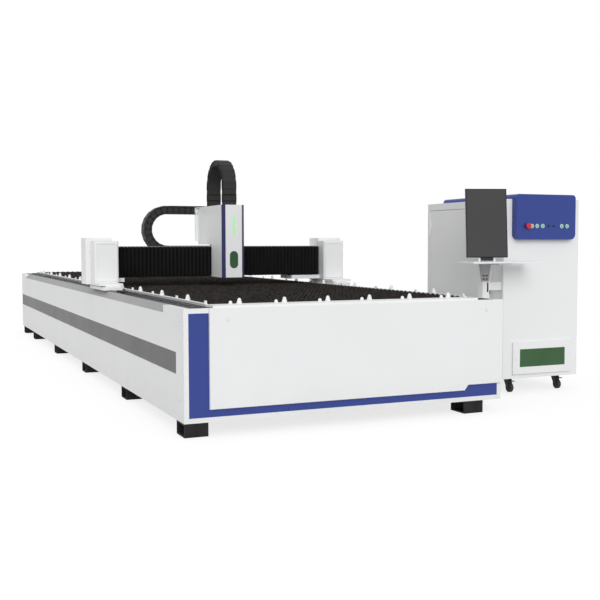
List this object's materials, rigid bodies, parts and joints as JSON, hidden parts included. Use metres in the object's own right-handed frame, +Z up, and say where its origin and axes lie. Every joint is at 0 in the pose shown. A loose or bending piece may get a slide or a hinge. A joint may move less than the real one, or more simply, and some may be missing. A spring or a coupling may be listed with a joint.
{
  "type": "fiber laser cutting machine",
  "caption": "Long flatbed laser cutter: saw-tooth slat table, travelling gantry with bellows, carriage and cable chains, rolling control cabinet with tilting monitor.",
  "frame": {"origin": "on the floor at the middle of the whole outline, table and cabinet together", "axes": "+Y along the table away from the operator, +X across the table towards the cabinet, +Z up"},
  "size_m": [3.457, 7.524, 1.8894],
  "materials": {
    "white_paint": "satin",
    "blue_paint": "satin",
    "black_metal": "matt",
    "grey_metal": "satin",
    "dark_steel": "scaled",
    "steel": "ground",
    "aluminium": "satin",
    "chain_plastic": "matt",
    "bellows_fabric": "matt",
    "light_plastic": "glossy",
    "tinted_glass": "clear",
    "smoked_glass": "clear",
    "black_plastic": "matt",
    "screen_plastic": "glossy",
    "red_plastic": "glossy",
    "green_plastic": "glossy",
    "wheel_rubber": "matt"
  },
  "bodies": {
    "machine": {"bed_frame": "white_paint", "bed_feet": "grey_metal", "front_inset": "blue_paint", "front_panel": "white_paint", "panel_locks": "steel", "bed_panels": "white_paint", "y_guideways": "steel", "rail_covers": "black_metal", "slat_rails": "white_paint", "slats": "dark_steel", "ball_units": "white_paint", "scrap_trays": "dark_steel", "y_chain_tray": "white_paint", "y_chain": "chain_plastic", "cabinet_body": "white_paint", "console_housing": "blue_paint", "laser_source": "grey_metal", "drive_rack": "grey_metal", "monitor_bracket": "white_paint", "keyboard_shelf": "white_paint"},
    "gantry": {"gantry_beam": "white_paint", "gantry_slides": "white_paint", "y_drives": "black_metal", "left_post": "white_paint", "right_post": "white_paint", "x_guideway": "steel", "x_chain_tray": "white_paint", "x_chain": "chain_plastic", "bellows_left": "bellows_fabric", "bellows_right": "bellows_fabric"},
    "carriage": {"carriage_saddle": "aluminium", "x_drive": "black_metal", "z_drive": "black_metal", "carriage_cover": "white_paint", "carriage_trim": "blue_paint", "led_strip": "light_plastic", "head_window": "tinted_glass", "z_chain": "chain_plastic"},
    "head": {"z_plate": "aluminium", "cutting_head": "aluminium"},
    "screw": {"z_screw": "steel"},
    "monitor": {"monitor": "screen_plastic"},
    "door": {"cabinet_door": "white_paint"},
    "door_handle": {"door_handle": "black_plastic"},
    "hatch": {"hatch": "white_paint", "hatch_window": "smoked_glass"},
    "emergency_stop": {"emergency_stop": "red_plastic"},
    "button_1": {"button_1": "green_plastic"},
    "button_2": {"button_2": "green_plastic"},
    "button_3": {"button_3": "green_plastic"},
    "button_4": {"button_4": "green_plastic"},
    "button_5": {"button_5": "green_plastic"},
    "caster_fork_1": {"caster_fork_1": "black_metal"},
    "caster_wheel_1": {"caster_wheel_1": "wheel_rubber"},
    "caster_fork_2": {"caster_fork_2": "black_metal"},
    "caster_wheel_2": {"caster_wheel_2": "wheel_rubber"},
    "caster_fork_3": {"caster_fork_3": "black_metal"},
    "caster_wheel_3": {"caster_wheel_3": "wheel_rubber"},
    "caster_fork_4": {"caster_fork_4": "black_metal"},
    "caster_wheel_4": {"caster_wheel_4": "wheel_rubber"}
  },
  "joints": [
    {"name": "gantry_slide", "type": "slide", "parent": "machine", "child": "gantry", "axis": [0, 1, 0], "range_m": [-1.9, 4], "deforming": ["y_chain"]},
    {"name": "carriage_slide", "type": "slide", "parent": "gantry", "child": "carriage", "axis": [1, 0, 0], "range_m": [-0.75, 0.75], "deforming": ["bellows_left", "bellows_right", "x_chain"]},
    {"name": "head_slide", "type": "slide", "parent": "carriage", "child": "head", "axis": [0, 0, 1], "range_m": [-0.05, 0.08], "deforming": ["z_chain"]},
    {"name": "z_screw_spin", "type": "hinge", "parent": "carriage", "child": "screw", "pos_m": [-0.5315, -1.118, 1.1], "axis": [0, 0, 1], "continuous": true},
    {"name": "monitor_tilt", "type": "hinge", "parent": "machine", "child": "monitor", "pos_m": [0.7775, -3.305, 1.036], "axis": [-0.9397, 0.342, 0], "range_deg": [-7, 15]},
    {"name": "door_swing", "type": "hinge", "parent": "machine", "child": "door", "pos_m": [1.0125, -2.127, 0.8], "axis": [0, 0, -1], "range_deg": [0, 18]},
    {"name": "door_handle_turn", "type": "hinge", "parent": "door", "child": "door_handle", "pos_m": [1.0185, -2.996, 0.832], "axis": [1, 0, 0], "range_deg": [0, 90]},
    {"name": "hatch_swing", "type": "hinge", "parent": "machine", "child": "hatch", "pos_m": [1.6615, -3.185, 0.25], "axis": [0, 0, 1], "range_deg": [0, 110]},
    {"name": "emergency_stop_press", "type": "slide", "parent": "machine", "child": "emergency_stop", "axis": [0, 1, 0], "range_m": [0, 0.004]},
    {"name": "button_1_press", "type": "slide", "parent": "machine", "child": "button_1", "axis": [0, 1, 0], "range_m": [0, 0.003], "stiffness_N_per_m": 500, "springref_m": -0.001},
    {"name": "button_2_press", "type": "slide", "parent": "machine", "child": "button_2", "axis": [0, 1, 0], "range_m": [0, 0.003], "stiffness_N_per_m": 500, "springref_m": -0.001},
    {"name": "button_3_press", "type": "slide", "parent": "machine", "child": "button_3", "axis": [0, 1, 0], "range_m": [0, 0.003], "stiffness_N_per_m": 500, "springref_m": -0.001},
    {"name": "button_4_press", "type": "slide", "parent": "machine", "child": "button_4", "axis": [0, 1, 0], "range_m": [0, 0.003], "stiffness_N_per_m": 500, "springref_m": -0.001},
    {"name": "button_5_press", "type": "slide", "parent": "machine", "child": "button_5", "axis": [0, 1, 0], "range_m": [0, 0.003], "stiffness_N_per_m": 500, "springref_m": -0.001},
    {"name": "caster_1_swivel", "type": "hinge", "parent": "machine", "child": "caster_fork_1", "pos_m": [1.1455, -3.069, 0.1], "axis": [0, 0, 1], "continuous": true},
    {"name": "caster_1_roll", "type": "hinge", "parent": "caster_fork_1", "child": "caster_wheel_1", "pos_m": [1.1455, -3.097, 0.0375], "axis": [1, 0, 0], "continuous": true},
    {"name": "caster_2_swivel", "type": "hinge", "parent": "machine", "child": "caster_fork_2", "pos_m": [1.6015, -3.069, 0.1], "axis": [0, 0, 1], "continuous": true},
    {"name": "caster_2_roll", "type": "hinge", "parent": "caster_fork_2", "child": "caster_wheel_2", "pos_m": [1.6015, -3.097, 0.0375], "axis": [1, 0, 0], "continuous": true},
    {"name": "caster_3_swivel", "type": "hinge", "parent": "machine", "child": "caster_fork_3", "pos_m": [1.1455, -2.187, 0.1], "axis": [0, 0, 1], "continuous": true},
    {"name": "caster_3_roll", "type": "hinge", "parent": "caster_fork_3", "child": "caster_wheel_3", "pos_m": [1.1455, -2.215, 0.0375], "axis": [1, 0, 0], "continuous": true},
    {"name": "caster_4_swivel", "type": "hinge", "parent": "machine", "child": "caster_fork_4", "pos_m": [1.6015, -2.187, 0.1], "axis": [0, 0, 1], "continuous": true},
    {"name": "caster_4_roll", "type": "hinge", "parent": "caster_fork_4", "child": "caster_wheel_4", "pos_m": [1.6015, -2.215, 0.0375], "axis": [1, 0, 0], "continuous": true}
  ],
  "couplings": [
    {"joint": "z_screw_spin", "follows": "head_slide", "rad_per_m": 628.32}
  ]
}
